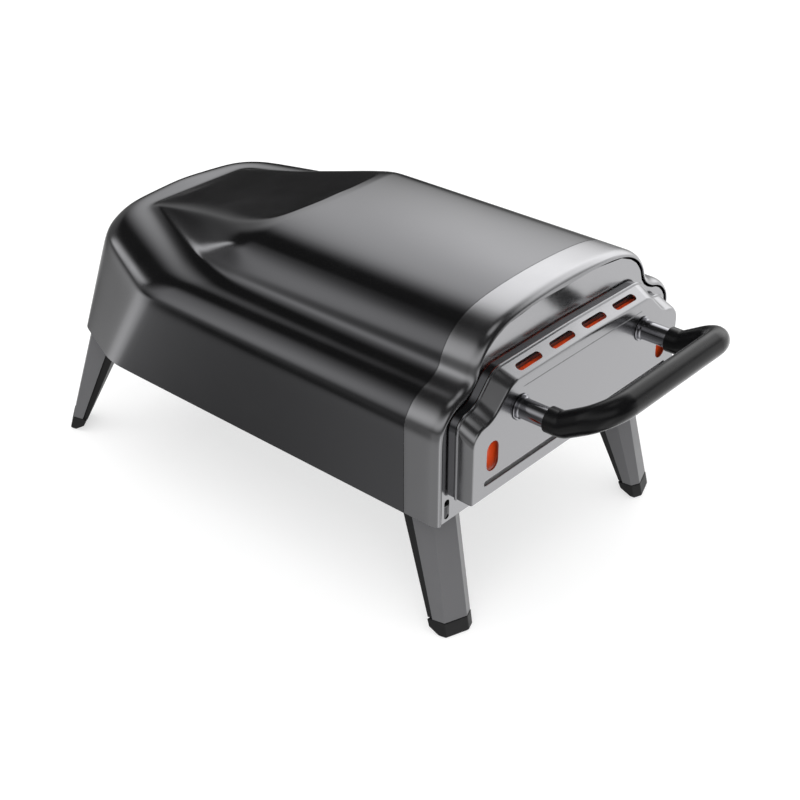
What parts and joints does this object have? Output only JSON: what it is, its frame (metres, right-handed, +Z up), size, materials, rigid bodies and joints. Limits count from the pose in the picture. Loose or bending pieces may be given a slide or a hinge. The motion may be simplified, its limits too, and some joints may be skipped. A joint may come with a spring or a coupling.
{
  "type": "portable pizza oven",
  "caption": "Portable gas pizza oven: arched steel hood with a slanted rear, lift-off front door with a bar handle, and folding splayed legs.",
  "frame": {"origin": "floor plane, at the middle of the bounding box", "axes": "+Z up, +X to the oven's right seen from behind the door, -Y out of the front mouth; the length runs along Y"},
  "size_m": [0.42, 0.8094, 0.3615],
  "materials": {
    "hood_paint": "charcoal semi-gloss powder coat",
    "satin_steel": "satin stainless sheet",
    "plate_steel": "fine satin stainless sheet",
    "polished_steel": "polished",
    "orange_enamel": "satin orange coat",
    "galvanised": "galvanised sheet",
    "stone": "matt fired cordierite stone",
    "fibre": "white ceramic fibre",
    "ceramic": "glazed ceramic",
    "brass": "machined",
    "leg_paint": "mid grey semi-gloss powder coat",
    "black_nylon": "fine grain",
    "rubber": "matt",
    "grip_black": "satin phenolic",
    "knob_black": "satin"
  },
  "bodies": {
    "oven_body": {"hood_shell": "hood_paint", "front_collar": "satin_steel", "front_plate": "plate_steel", "base_pan": "galvanised", "chamber_liner": "galvanised", "chamber_rear_wall": "galvanised", "insulation_blanket": "fibre", "sill_plate": "galvanised", "pizza_stone": "stone", "burner_tube": "galvanised", "flame_guard": "galvanised", "igniter_electrode": "ceramic", "gas_valve": "brass", "valve_bracket": "galvanised", "gas_inlet": "brass", "stone_rail_left": "galvanised", "burner_saddle_left": "galvanised", "stone_rail_right": "galvanised", "burner_saddle_right": "galvanised", "leg_pin_front_left": "polished_steel", "leg_bracket_front_left": "galvanised", "leg_pin_front_right": "polished_steel", "leg_bracket_front_right": "galvanised", "leg_pin_rear_left": "polished_steel", "leg_bracket_rear_left": "galvanised", "leg_pin_rear_right": "polished_steel", "leg_bracket_rear_right": "galvanised"},
    "door": {"door_shell": "satin_steel", "door_pan": "orange_enamel", "door_insulation": "fibre", "door_back": "galvanised", "handle_grip": "grip_black", "handle_post_left": "polished_steel", "handle_post_right": "polished_steel", "handle_nut_left": "galvanised", "handle_nut_right": "galvanised"},
    "knob": {"control_knob": "knob_black", "valve_stem": "brass"},
    "leg_front_left": {"leg_cover_front_left": "leg_paint", "leg_core_front_left": "black_nylon", "leg_shoe_front_left": "rubber"},
    "leg_front_right": {"leg_cover_front_right": "leg_paint", "leg_core_front_right": "black_nylon", "leg_shoe_front_right": "rubber"},
    "leg_rear_left": {"leg_cover_rear_left": "leg_paint", "leg_core_rear_left": "black_nylon", "leg_shoe_rear_left": "rubber"},
    "leg_rear_right": {"leg_cover_rear_right": "leg_paint", "leg_core_rear_right": "black_nylon", "leg_shoe_rear_right": "rubber"}
  },
  "joints": [
    {"name": "door_lift_off", "type": "slide", "parent": "oven_body", "child": "door", "axis": [0, -1, 0], "range_m": [0, 0.15]},
    {"name": "gas_knob_turn", "type": "hinge", "parent": "oven_body", "child": "knob", "pos_m": [0, 0.35409, 0.198], "axis": [0, 1, 0], "range_deg": [0, 200]},
    {"name": "leg_fold_front_left", "type": "hinge", "parent": "oven_body", "child": "leg_front_left", "pos_m": [-0.162, -0.19891, 0.139], "axis": [1, 0, 0], "range_deg": [0, 100]},
    {"name": "leg_fold_front_right", "type": "hinge", "parent": "oven_body", "child": "leg_front_right", "pos_m": [0.162, -0.19891, 0.139], "axis": [1, 0, 0], "range_deg": [0, 100]},
    {"name": "leg_fold_rear_left", "type": "hinge", "parent": "oven_body", "child": "leg_rear_left", "pos_m": [-0.1339, 0.33059, 0.139], "axis": [-0.891, -0.454, 0], "range_deg": [0, 100]},
    {"name": "leg_fold_rear_right", "type": "hinge", "parent": "oven_body", "child": "leg_rear_right", "pos_m": [0.1339, 0.33059, 0.139], "axis": [-0.891, 0.454, 0], "range_deg": [0, 100]}
  ]
}
